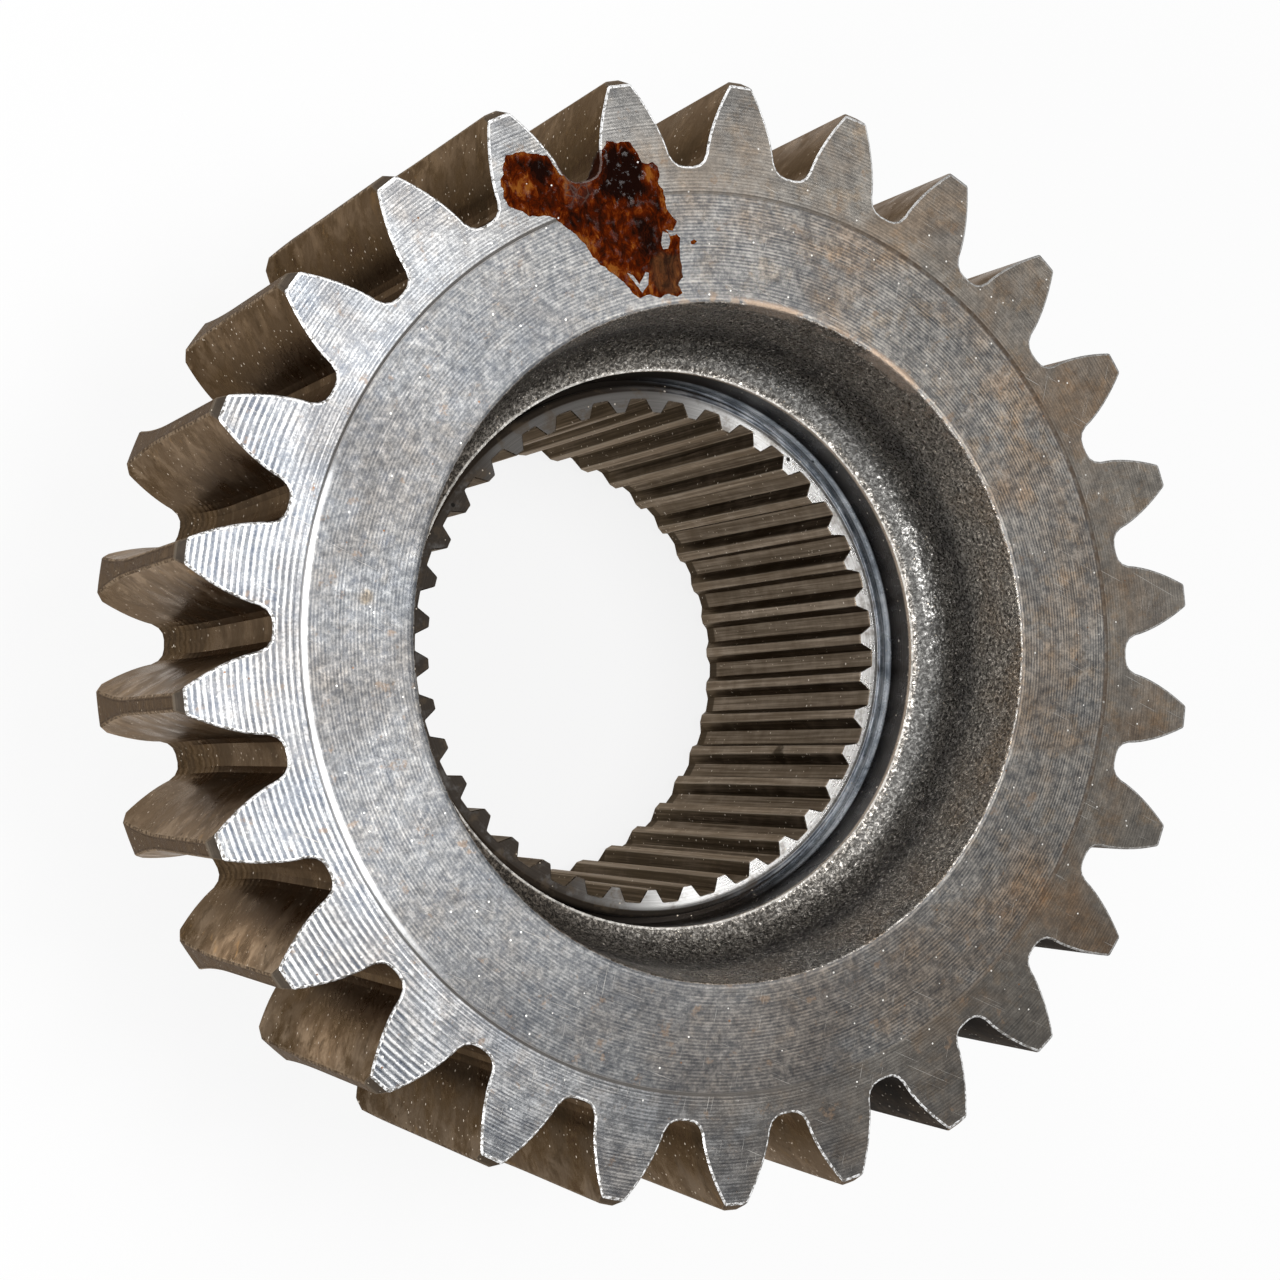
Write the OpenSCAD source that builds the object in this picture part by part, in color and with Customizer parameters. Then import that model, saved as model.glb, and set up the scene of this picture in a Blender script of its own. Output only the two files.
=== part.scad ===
/* [Outer teeth] */
// Module of the outer teeth in millimetres
gear_module = 6; // [5:0.5:7]
// Number of outer teeth
gear_teeth = 26; // [24:1:32]
// Pressure angle of the outer teeth in degrees
pressure_angle = 24; // [20:0.5:26]
// Thickness of a tooth along the pitch circle
tooth_thickness = 8.4; // [8:0.1:9.2]
// Rounding between a tooth flank and the root
root_fillet = 2.4; // [1.6:0.1:2.6]
// Width of the toothed rim along the axis
rim_width = 52; // [45:1:65]
// Radial size of the bevel on the tooth tips at both ends
tip_bevel_radial = 1.2; // [0.6:0.1:2]
// Length of that bevel along the axis
tip_bevel_axial = 2.2; // [1:0.1:3]
// How far the tooth gaps have risen at the rear, where the cutter ran out
runout_rise = 2.6; // [1:0.1:3.5]
// Radius of the cutter that left that run-out
cutter_radius = 100; // [80:5:130]

/* [Front face and recess] */
// Radius of the turned step between the two zones of the front face
step_radius = 66.7; // [60:0.1:68]
// Depth of that step
step_depth = 0.3; // [0.2:0.05:0.6]
// Radius of the recess at the front face
recess_radius = 50.3; // [49:0.1:54]
// Width of the small bevel round the edge of the recess
recess_edge = 0.5; // [0.3:0.1:1]
// Inward draft of the upper wall of the recess
recess_draft = 1; // [0.5:0.1:2]
// Depth at which the wall starts to curve inwards
cove_start = 11; // [8:0.5:14]
// Radius at the foot of the coved wall
cove_foot_radius = 43.6; // [43.4:0.1:45]
// Depth of the foot of the coved wall
cove_depth = 22.5; // [18:0.5:26]
// Depth of the groove floor between the cove and the end of the hub
groove_depth = 32.5; // [31.5:0.5:36]

/* [Hub and spline] */
// Depth of the end face of the hub below the front face
hub_depth = 29.5; // [28.5:0.5:31]
// Outer radius of the rounded end of the hub
hub_end_radius = 42.6; // [42.2:0.1:42.8]
// Rounding of the outer edge of the hub end
hub_end_rounding = 1.8; // [1:0.1:2]
// Module of the internal spline
spline_module = 2; // [1.9:0.05:2]
// Number of teeth of the internal spline
spline_teeth = 38; // [36:1:38]
// Height of a spline tooth
spline_depth = 2.1; // [1.8:0.1:2.2]
// Thickness of a spline tooth at half its height
spline_tooth_width = 2.85; // [2.6:0.05:3.1]
// Slope of the sides of a spline tooth in degrees
spline_angle = 27; // [22:1:30]
// Radial size of the lead-in bevel at the rear end of the spline
spline_lead_radial = 2; // [1:0.1:2.4]
// Length of that bevel along the axis
spline_lead_axial = 3; // [1:0.1:4]
// Length of the hub behind the toothed rim
hub_back_length = 38; // [20:1:45]
// Outer radius of the hub behind the toothed rim
hub_back_radius = 50; // [48:0.5:60]
// Fillet between the rear hub and the rear face of the rim
hub_back_fillet = 4; // [2:0.5:6]
// Bevel on the outer edge of the rear hub
hub_back_bevel = 2; // [1:0.5:3]

/* [Hidden] */

// Radii of the outer teeth
pitch_radius = gear_module * gear_teeth / 2;
tip_radius = pitch_radius + gear_module;
root_radius = pitch_radius - 1.25 * gear_module;
base_radius = pitch_radius * cos(pressure_angle);

// Radii of the internal spline
spline_tip_radius = spline_module * spline_teeth / 2;
spline_mid_radius = spline_tip_radius + spline_depth / 2;
spline_root_radius = spline_tip_radius + spline_depth;

// Levels along the axis, from the rear end of the hub up to the front face
rim_back = hub_back_length;
rim_front = hub_back_length + rim_width;
inner_front = rim_front - step_depth;
hub_front = rim_front - hub_depth;
groove_floor = rim_front - groove_depth;

// The involute function in degrees, and the half angle of a tooth at a radius
function involute(angle) = tan(angle) * 180 / PI - angle;
function tooth_half_angle(radius) =
    tooth_thickness / (2 * pitch_radius) * 180 / PI
    + involute(pressure_angle) - involute(acos(min(1, base_radius / radius)));
function gap_half_angle(radius) = 180 / gear_teeth - tooth_half_angle(radius);

// One side of a tooth gap: x is across the gap and y is the distance from the axis
function gap_side(radius) =
    [radius * sin(gap_half_angle(radius)), radius * cos(gap_half_angle(radius))];

flank_low = root_radius + 1.9;
flank_high = tip_radius + 1.2;
flank_steps = 5;
fillet_steps = 2;
flank_foot = gap_side(flank_low);
foot_slope = acos(base_radius / flank_low) - gap_half_angle(flank_low);
fillet_centre = [
    flank_foot[0] - root_fillet * cos(foot_slope),
    root_radius + root_fillet
];

right_fillet = [
    for (i = [0 : fillet_steps])
        let (angle = -90 + (90 + foot_slope) * i / (fillet_steps + 1))
        [fillet_centre[0] + root_fillet * cos(angle), fillet_centre[1] + root_fillet * sin(angle)]
];
right_flank = [
    for (i = [0 : flank_steps])
        gap_side(flank_low + (flank_high - flank_low) * i / flank_steps)
];
right_side = concat(right_fillet, right_flank);
left_side = [
    for (i = [len(right_side) - 1 : -1 : 0])
        [-right_side[i][0], right_side[i][1]]
];
gap_outline = concat(right_side, left_side);

// The cutter leaves the full depth where its run-out starts
runout_length = sqrt(2 * cutter_radius * runout_rise - runout_rise * runout_rise);
runout_start = rim_back + runout_length;
cutter_axis = root_radius + cutter_radius;

// A straight tooth gap that curves outwards at the rear
module tooth_gap() {
    translate([0, 0, runout_start])
        linear_extrude(height = rim_front - runout_start + 2)
            polygon(gap_outline);
    translate([0, cutter_axis, runout_start])
        rotate([0, 90, 0])
            rotate([0, 0, -90])
                rotate_extrude(angle = 30, $fn = 96)
                    polygon([for (p = gap_outline) [cutter_axis - p[1], p[0]]]);
}

// Points along the coved foot of the recess wall, from the steep wall to its foot
cove_steps = 7;
cove_top_radius = recess_radius - recess_draft;
cove_wall = [
    for (i = [0 : cove_steps])
        let (angle = 90 * i / cove_steps)
        [
            cove_top_radius - (cove_top_radius - cove_foot_radius) * (1 - cos(angle)),
            rim_front - cove_start - (cove_depth - cove_start) * sin(angle)
        ]
];

// Points round the outer edge of the hub end
edge_steps = 4;
hub_edge = [
    for (i = [0 : edge_steps])
        let (angle = 90 * i / edge_steps)
        [
            hub_end_radius - hub_end_rounding + hub_end_rounding * cos(angle),
            hub_front - hub_end_rounding + hub_end_rounding * sin(angle)
        ]
];

// Points along the fillet between the rear hub and the rear face of the rim
back_fillet = [
    for (i = [0 : edge_steps])
        let (angle = 90 * i / edge_steps)
        [
            hub_back_radius + hub_back_fillet * (1 - cos(angle)),
            rim_back - hub_back_fillet * (1 - sin(angle))
        ]
];

// The turned blank: everything that goes round the axis
module turned_blank() {
    rotate_extrude($fn = 180)
        polygon(concat(
            [
                [spline_tip_radius + spline_lead_radial, 0],
                [hub_back_radius - hub_back_bevel, 0],
                [hub_back_radius, hub_back_bevel]
            ],
            back_fillet,
            [
                [tip_radius - tip_bevel_radial, rim_back],
                [tip_radius, rim_back + tip_bevel_axial],
                [tip_radius, rim_front - tip_bevel_axial],
                [tip_radius - tip_bevel_radial, rim_front],
                [step_radius, rim_front],
                [step_radius, inner_front],
                [recess_radius + recess_edge, inner_front],
                [recess_radius, inner_front - recess_edge]
            ],
            cove_wall,
            [
                [cove_foot_radius, groove_floor],
                [hub_end_radius, groove_floor]
            ],
            hub_edge,
            [
                [spline_tip_radius, hub_front],
                [spline_tip_radius, spline_lead_axial]
            ]
        ));
}

// One space of the internal spline, with straight sloping sides
space_half_width = PI * spline_mid_radius / spline_teeth - spline_tooth_width / 2;
function space_half_at(radius) = space_half_width + (spline_mid_radius - radius) * tan(spline_angle);
space_start = spline_tip_radius - 1;
module spline_space() {
    translate([0, 0, -1])
        linear_extrude(height = hub_front + 2)
            polygon([
                [-space_half_at(space_start), space_start],
                [space_half_at(space_start), space_start],
                [space_half_at(spline_root_radius), spline_root_radius],
                [-space_half_at(spline_root_radius), spline_root_radius]
            ]);
}

module reverse_gear() {
    color("silver")
        difference() {
            turned_blank();
            for (i = [0 : gear_teeth - 1])
                rotate([0, 0, (i + 0.5) * 360 / gear_teeth])
                    tooth_gap();
            for (i = [0 : spline_teeth - 1])
                rotate([0, 0, i * 360 / spline_teeth])
                    spline_space();
        }
}

reverse_gear();
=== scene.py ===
import math

import bmesh
import bpy
import numpy as np
from mathutils import Matrix, Vector, noise
from mathutils.geometry import delaunay_2d_cdt


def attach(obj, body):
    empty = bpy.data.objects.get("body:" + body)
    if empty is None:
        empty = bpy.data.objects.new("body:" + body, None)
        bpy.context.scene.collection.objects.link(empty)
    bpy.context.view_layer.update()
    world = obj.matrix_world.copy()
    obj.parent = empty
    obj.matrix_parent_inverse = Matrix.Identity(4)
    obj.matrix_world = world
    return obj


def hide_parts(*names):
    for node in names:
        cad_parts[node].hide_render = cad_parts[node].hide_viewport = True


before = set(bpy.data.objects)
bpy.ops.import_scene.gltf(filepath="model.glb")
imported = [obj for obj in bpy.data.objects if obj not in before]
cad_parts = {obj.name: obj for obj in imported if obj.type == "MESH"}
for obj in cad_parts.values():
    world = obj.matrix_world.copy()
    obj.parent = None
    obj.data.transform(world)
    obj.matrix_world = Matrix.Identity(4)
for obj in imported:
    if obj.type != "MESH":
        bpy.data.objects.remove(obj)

# A fixed seed, so that the ragged edges come out the same on every run
noise.seed_set(3)

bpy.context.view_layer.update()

# Sizes in millimetres, the same as the solid's
TEETH = 26
SPLINE_TEETH = 38
MODULE = 6.0
PRESSURE_ANGLE = math.radians(24)
TOOTH_THICKNESS = 8.4
ROOT_FILLET = 2.4
PITCH_RADIUS = MODULE * TEETH / 2
TIP_RADIUS = PITCH_RADIUS + MODULE
ROOT_RADIUS = PITCH_RADIUS - 1.25 * MODULE
BASE_RADIUS = PITCH_RADIUS * math.cos(PRESSURE_ANGLE)
RIM_BACK = 38.0
RIM_FRONT = 90.0
BEVEL_RADIAL = 1.2
BEVEL_AXIAL = 2.2
RUNOUT_RISE = 2.6
CUTTER_RADIUS = 100.0
RUNOUT_LENGTH = math.sqrt(2 * CUTTER_RADIUS * RUNOUT_RISE - RUNOUT_RISE ** 2)
RUNOUT_START = RIM_BACK + RUNOUT_LENGTH
CUTTER_AXIS = ROOT_RADIUS + CUTTER_RADIUS
STEP_RADIUS = 66.7
STEP_DEPTH = 0.3
RECESS_RADIUS = 50.3
COVE_TOP_RADIUS = 49.3
COVE_TOP = 79.0
COVE_FOOT_RADIUS = 43.6
COVE_FOOT = 67.5
GROOVE_FLOOR = 57.5
HUB_FRONT = 60.5
HUB_RADIUS = 42.6
HUB_ROUNDING = 1.8
SPLINE_TIP = 38.0
SPLINE_ROOT = 40.1
SPLINE_MID = 39.05
SPLINE_TOOTH = 2.85
SPLINE_SLOPE = math.tan(math.radians(27))
LEAD_RADIAL = 2.0
LEAD_AXIAL = 3.0
HUB_BACK_RADIUS = 50.0
HUB_BACK_FILLET = 4.0
HUB_BACK_BEVEL = 2.0

# The varnish lies on the face, so the face itself is kept this far below the solid's
FILM = 0.12
FACE = RIM_FRONT - FILM
INNER_FACE = FACE - STEP_DEPTH

# The turned step is a short slope
STEP_FOOT = STEP_RADIUS - 0.25
STEP_TOP = STEP_RADIUS + 0.15

# Where the two skins meet on the front face
SEAM_RADIUS = 51.4

# The deburred edge of the teeth: its bevel, how far in it is rubbed, and where the film and the rear begin
EDGE_BEVEL = 0.2
EDGE_RUB = 0.33
EDGE_BAND = 0.27
REAR_EDGE = 0.25

# Levels at which the tip bevels end
FRONT_BEVEL = RIM_FRONT - BEVEL_AXIAL
REAR_BEVEL = RIM_BACK + BEVEL_AXIAL

# Levels of the rings along the teeth, close together at the bevels
TOOTH_LEVELS = (
    FACE - EDGE_BEVEL, 88.7, FRONT_BEVEL, 86.6, 84.5, 81.5, 78.5, 75.5, 72.5, 69.5, 66.5, 63.5, RUNOUT_START,
    58.2, 55.7, 53.2, 50.7, 48.2, 45.8, 43.4, 41.6, REAR_BEVEL, 39.1,
)

# Lumps of the forged wall: height, and how many to the millimetre
LUMPS = ((0.16, 0.28), (0.11, 0.8), (0.05, 1.4))

# Distance in millimetres from one turned line of the front face to the next
COARSE_FEED = 0.92
FINE_FEED = 0.52
REAR_FEED = 0.8

# Distance between the hob marks by the rear of the tooth gaps
HOB_FEED = 2.2

# Brown clouds on the front face: place and reach
BROWN_CLOUDS = (
    ((54.8, 23.3, RIM_FRONT), 17.0),
    ((43.4, -50.1, RIM_FRONT), 13.0),
    ((30.0, 52.0, RIM_FRONT), 9.0),
)

# Distance between the points of the varnish film, inside and along its sides
FILM_GRID = 0.34
FILM_GRID_SIDE = 0.35

# Every ring has the same number of points, a multiple of both counts of teeth
COUNT = TEETH * SPLINE_TEETH
HALF_OUTER = SPLINE_TEETH // 2
PITCH = 2 * math.pi / TEETH
SPLINE_PITCH = 2 * math.pi / SPLINE_TEETH


def involute(angle):
    return math.tan(angle) - angle


def gap_half_angle(radius):
    spread = involute(PRESSURE_ANGLE) - involute(math.acos(min(1.0, BASE_RADIUS / radius)))
    return PITCH / 2 - TOOTH_THICKNESS / (2 * PITCH_RADIUS) - spread


def gap_point(radius):
    half = gap_half_angle(radius)
    return radius * math.sin(half), radius * math.cos(half)


def raised(y, z):
    """Distance from the axis once the cutter has started to rise at the rear."""
    back = max(0.0, RUNOUT_START - z)
    reach = CUTTER_AXIS - y
    return CUTTER_AXIS - math.sqrt(reach * reach - back * back)


FLANK_LOW = ROOT_RADIUS + 1.9
FOOT = gap_point(FLANK_LOW)
FOOT_SLOPE = math.acos(BASE_RADIUS / FLANK_LOW) - gap_half_angle(FLANK_LOW)
FILLET_X = FOOT[0] - ROOT_FILLET * math.cos(FOOT_SLOPE)
FILLET_Y = ROOT_RADIUS + ROOT_FILLET


def tooth_profile(z):
    """Half a tooth at a level: (radius, angle from the tooth's middle, distance from the tip edge)."""
    slope = BEVEL_RADIAL / BEVEL_AXIAL
    tip = min(
        TIP_RADIUS - 0.002,
        TIP_RADIUS - BEVEL_RADIAL + (RIM_FRONT - z) * slope,
        TIP_RADIUS - BEVEL_RADIAL + (z - RIM_BACK) * slope,
    )
    low, high = FLANK_LOW, tip + 0.6
    for _ in range(30):
        middle = (low + high) / 2
        x, y = gap_point(middle)
        if math.hypot(x, raised(y, z)) < tip:
            low = middle
        else:
            high = middle
    top = low
    x, y = gap_point(top)
    edge = PITCH / 2 - math.atan2(x, raised(y, z))
    inner_edge = edge - 0.18 / tip
    points = []
    for step in range(5):
        angle = inner_edge * step / 4
        points.append((tip, angle, -(edge - angle) * tip))
    spots = []
    for step in range(9):
        radius = top - 0.22 - (top - 0.22 - FLANK_LOW) * step / 8
        spots.append((*gap_point(radius), top - radius))
    for step in range(1, 5):
        turn = FOOT_SLOPE + (-math.pi / 2 - FOOT_SLOPE) * step / 4
        spots.append((
            FILLET_X + ROOT_FILLET * math.cos(turn),
            FILLET_Y + ROOT_FILLET * math.sin(turn),
            top - FLANK_LOW + step,
        ))
    spots.append((FILLET_X / 2, ROOT_RADIUS, top - FLANK_LOW + 5))
    spots.append((0.0, ROOT_RADIUS, top - FLANK_LOW + 6))
    for x, y, distance in spots:
        y = raised(y, z)
        points.append((math.hypot(x, y), PITCH / 2 - math.atan2(x, y), distance))
    return points


def tooth_ring(z):
    half = tooth_profile(z)
    places = np.zeros((COUNT, 2))
    across = np.zeros(COUNT)
    for i in range(COUNT):
        tooth, step = divmod(i, SPLINE_TEETH)
        offset = step - HALF_OUTER
        radius, angle, distance = half[abs(offset)]
        turn = tooth * PITCH + math.copysign(angle, offset)
        places[i] = radius * math.sin(turn), radius * math.cos(turn)
        across[i] = distance
    return places, across


def spline_profile(tip):
    """From the middle of a spline space to the middle of a tooth: (radius, angle, distance from the tip)."""
    def half_width(radius):
        return math.pi * SPLINE_MID / SPLINE_TEETH - SPLINE_TOOTH / 2 + (SPLINE_MID - radius) * SPLINE_SLOPE

    foot = half_width(SPLINE_ROOT)
    points = []
    for share, height in ((0, 0), (0.4, 0), (0.8, 0), (0.97, 0.03)):
        points.append((foot * share, SPLINE_ROOT - height, 2.2))
    low = min(tip + 0.1, SPLINE_ROOT - 0.03)
    for step in range(6):
        height = SPLINE_ROOT - 0.12 - (SPLINE_ROOT - 0.12 - low) * step / 5
        points.append((half_width(height), height, height - tip))
    polar = [(math.hypot(x, y), math.atan2(x, y), d) for x, y, d in points]
    x, y = half_width(tip), tip
    edge = math.atan2(x, y) + 0.12 / tip
    for step in range(4):
        angle = edge + (SPLINE_PITCH / 2 - edge) * step / 3
        polar.append((tip, angle, -(angle - edge) * tip - 0.05))
    return polar


def spline_ring(tip=SPLINE_TIP):
    half = spline_profile(tip)
    places = np.zeros((COUNT, 2))
    across = np.zeros(COUNT)
    per_tooth = COUNT // SPLINE_TEETH
    for i in range(COUNT):
        space, step = divmod(i - HALF_OUTER, per_tooth)
        if step > per_tooth // 2:
            space, step = space + 1, step - per_tooth
        radius, angle, distance = half[abs(step)]
        turn = space * SPLINE_PITCH + math.copysign(angle, step)
        places[i] = radius * math.sin(turn), radius * math.cos(turn)
        across[i] = distance
    return places, across


def circle(radius, angles=None):
    if angles is None:
        angles = (np.arange(COUNT) - HALF_OUTER) * 2 * math.pi / COUNT
    return np.column_stack([radius * np.sin(angles), radius * np.cos(angles)])


def moved_in(places, distance):
    """The outline moved to the right of its own direction, seen from the front."""
    along = np.roll(places, -1, axis=0) - np.roll(places, 1, axis=0)
    along /= np.linalg.norm(along, axis=1)[:, None]
    return places + distance * np.column_stack([along[:, 1], -along[:, 0]])


def linked(name, data):
    """A new object in the scene."""
    made = bpy.data.objects.new(name, data)
    bpy.context.scene.collection.objects.link(made)
    return made


class Lathe:
    """A skin made of rings, each joined to the next, with a material for each band."""

    def __init__(self):
        self.rings = []
        self.across = []
        self.bands = []

    def add(self, places, z, band, across=None):
        """Adds a ring. The band is its material up to the next ring, or a function of the point's number."""
        self.rings.append(np.column_stack([places, np.full(COUNT, z) if np.isscalar(z) else z]))
        self.across.append(np.zeros(COUNT) if across is None else across)
        self.bands.append(band)

    def make(self, name, materials, crease):
        first = np.arange(COUNT)
        following = np.roll(first, -1)
        quads = np.column_stack([first, following, following + COUNT, first + COUNT])
        names = list(materials)
        faces = []
        index = []
        for ring, band in enumerate(self.bands[:-1]):
            faces.append(quads + ring * COUNT)
            index += [names.index(band(i) if callable(band) else band) for i in range(COUNT)]
        mesh = bpy.data.meshes.new(name)
        mesh.from_pydata((np.vstack(self.rings) / 1000).tolist(), [], np.vstack(faces).tolist())
        for material in materials.values():
            mesh.materials.append(material)
        mesh.polygons.foreach_set("material_index", index)
        mesh.attributes.new("from_tip", "FLOAT", "POINT").data.foreach_set(
            "value",
            np.concatenate(self.across),
        )
        mesh.shade_smooth()
        mesh.set_sharp_from_angle(angle=math.radians(crease))
        piece = linked(name, mesh)
        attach(piece, "root")
        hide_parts("reverse_gear")
        return piece


def node_in(tree, kind, **settings):
    """A new node with its settings."""
    made = tree.nodes.new(kind)
    for key, value in settings.items():
        setattr(made, key, value)
    return made


class Shader:
    """A material with a Principled surface, and short names for the nodes that feed it."""

    def __init__(self, name, **sockets):
        self.material = bpy.data.materials.new(name)
        self.material.use_nodes = True
        self.tree = self.material.node_tree
        self.tree.nodes.clear()
        self.output = self.node("ShaderNodeOutputMaterial")
        self.surface = self.node("ShaderNodeBsdfPrincipled")
        self.tree.links.new(self.surface.outputs[0], self.output.inputs["Surface"])
        for key, value in sockets.items():
            self.surface.inputs[key.replace("_", " ")].default_value = value
        millimetres = self.node("ShaderNodeVectorMath", operation="SCALE")
        self.tree.links.new(self.node("ShaderNodeTexCoord").outputs["Object"], millimetres.inputs[0])
        millimetres.inputs["Scale"].default_value = 1000
        self.place = millimetres.outputs[0]
        parts = self.node("ShaderNodeSeparateXYZ")
        self.tree.links.new(self.place, parts.inputs[0])
        self.x, self.y, self.z = parts.outputs
        self.radius = self.math("SQRT", self.plus(self.times(self.x, self.x), self.times(self.y, self.y)))
        self.angle = self.math("ARCTAN2", self.x, self.y)

    def node(self, kind, **settings):
        return node_in(self.tree, kind, **settings)

    def put(self, socket, value):
        if isinstance(value, bpy.types.NodeSocket):
            self.tree.links.new(value, socket)
        else:
            socket.default_value = value

    def math(self, operation, a, b=0.0):
        made = self.node("ShaderNodeMath", operation=operation)
        self.put(made.inputs[0], a)
        self.put(made.inputs[1], b)
        return made.outputs[0]

    def chain(self, operation, values):
        result = values[0]
        for value in values[1:]:
            result = self.math(operation, result, value)
        return result

    def plus(self, *values):
        return self.chain("ADD", values)

    def times(self, *values):
        return self.chain("MULTIPLY", values)

    def larger(self, *values):
        return self.chain("MAXIMUM", values)

    def minus(self, a, b):
        return self.math("SUBTRACT", a, b)

    def sine(self, value):
        return self.math("SINE", value)

    def ease(self, value, low, high, bottom=0.0, top=1.0):
        made = self.node("ShaderNodeMapRange", interpolation_type="SMOOTHSTEP")
        for socket, number in zip(made.inputs, (value, low, high, bottom, top)):
            self.put(socket, number)
        return made.outputs[0]

    def fall(self, value, low, high):
        """One up to the low end, and nothing past the high one."""
        return self.ease(value, low, high, 1.0, 0.0)

    def noise(self, scale, detail=2.0, roughness=0.5, vector=None, distortion=0.0):
        made = self.node("ShaderNodeTexNoise")
        self.put(made.inputs["Vector"], self.place if vector is None else vector)
        self.put(made.inputs["Distortion"], distortion)
        for key, value in (("Scale", scale), ("Detail", detail), ("Roughness", roughness)):
            self.put(made.inputs[key], value)
        return made.outputs["Fac"]

    def line_noise(self, value, scale, detail=2.0, roughness=0.5):
        made = self.node("ShaderNodeTexNoise", noise_dimensions="1D")
        for key, number in (("W", value), ("Scale", scale), ("Detail", detail), ("Roughness", roughness)):
            self.put(made.inputs[key], number)
        return made.outputs["Fac"]

    def cells(self, scale, feature="F1"):
        made = self.node("ShaderNodeTexVoronoi", feature=feature)
        self.put(made.inputs["Vector"], self.place)
        made.inputs["Scale"].default_value = scale
        return made

    def specks(self, scale, size, share):
        """Small scattered spots: size is a part of a cell and share is how many cells have one."""
        cells = self.cells(scale)
        spot = self.fall(cells.outputs["Distance"], size * 0.6, size)
        pick = self.node("ShaderNodeSeparateColor")
        self.put(pick.inputs[0], cells.outputs["Color"])
        return self.times(spot, self.math("LESS_THAN", pick.outputs[0], share))

    def turned_place(self, degrees, scale=(1.0, 1.0, 1.0)):
        """The place on the gear, turned about its axis and then scaled."""
        made = self.node("ShaderNodeMapping")
        self.put(made.inputs["Vector"], self.place)
        made.inputs["Rotation"].default_value = (0, 0, math.radians(degrees))
        made.inputs["Scale"].default_value = scale
        return made.outputs[0]

    def squeezed(self, vector, factors):
        made = self.node("ShaderNodeVectorMath", operation="MULTIPLY")
        self.put(made.inputs[0], vector)
        made.inputs[1].default_value = factors
        return made.outputs[0]

    def stretched(self, direction, length, width, share):
        """Fine straight scratches along one direction, in millimetres."""
        along = self.squeezed(self.turned_place(direction), (1 / length, 1 / width, 1 / width))
        return self.ease(self.noise(1.0, 1.0, 0.4, along), share, share + 0.06)

    def mix(self, factor, a, b, kind="MIX"):
        made = self.node("ShaderNodeMix", data_type="RGBA", blend_type=kind)
        for socket, value in ((made.inputs[0], factor), (made.inputs[6], a), (made.inputs[7], b)):
            self.put(socket, (*value, 1.0) if isinstance(value, tuple) else value)
        return made.outputs[2]

    def multiplied(self, a, b):
        return self.mix(1.0, a, b, "MULTIPLY")

    def tinted(self, colour, factor, tint):
        """The colour multiplied by a tint, as far as the factor says."""
        return self.multiplied(colour, self.mix(factor, (1.0, 1.0, 1.0), tint))

    def blend(self, factor, a, b):
        made = self.node("ShaderNodeMix", data_type="FLOAT")
        for socket, value in ((made.inputs[0], factor), (made.inputs[2], a), (made.inputs[3], b)):
            self.put(socket, value)
        return made.outputs[0]

    def ramp(self, factor, *stops):
        made = self.node("ShaderNodeValToRGB")
        self.put(made.inputs[0], factor)
        points = made.color_ramp.elements
        while len(points) < len(stops):
            points.new(0.5)
        for point, (place, colour) in zip(points, stops):
            point.position = place
            point.color = (*colour, 1.0)
        return made.outputs[0]

    def bump(self, height, distance):
        made = self.node("ShaderNodeBump")
        made.inputs["Distance"].default_value = distance / 1000
        self.put(made.inputs["Height"], height)
        return made.outputs[0]

    def attribute(self, name):
        return self.node("ShaderNodeAttribute", attribute_name=name).outputs["Fac"]

    def distance(self, place):
        made = self.node("ShaderNodeVectorMath", operation="DISTANCE")
        self.put(made.inputs[0], self.place)
        made.inputs[1].default_value = place
        return made.outputs["Value"]

    def near(self, place, reach):
        """One at a point on the gear, falling to nothing at a distance, with a ragged edge."""
        ragged = self.plus(self.distance(place), self.times(self.noise(0.9, 3.0), 2.2))
        return self.fall(ragged, reach, reach + 1.1)

    def turned_surface(self):
        """Lets the highlights lie as they do on a surface with tool marks round the axis."""
        tangent = self.node("ShaderNodeTangent", direction_type="RADIAL", axis="Z")
        self.put(self.surface.inputs["Tangent"], tangent.outputs[0])

    def finish(self, colour, roughness, normal, metallic=None):
        self.put(self.surface.inputs["Base Color"], colour)
        self.put(self.surface.inputs["Roughness"], roughness)
        self.put(self.surface.inputs["Normal"], normal)
        if metallic is not None:
            self.put(self.surface.inputs["Metallic"], metallic)
        return self.material


def rust_edge(s):
    """The two stretches of the recess's upper edge where it is chipped and rusty."""
    ragged = s.times(s.minus(s.noise(0.5, 3.0, 0.7), 0.5), 0.16)
    turn = s.plus(s.angle, ragged)
    first = s.times(s.ease(turn, 0.24, 0.28), s.fall(turn, 0.43, 0.48))
    second = s.times(s.ease(turn, 0.68, 0.72), s.fall(turn, 0.87, 0.92))
    faint = s.times(
        s.ease(turn, -0.20, 0.0),
        s.fall(turn, 1.0, 1.2),
        s.ease(s.noise(0.4, 3.0, 0.7), 0.50, 0.58),
        0.7,
    )
    return s.larger(first, second, faint)


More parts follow.
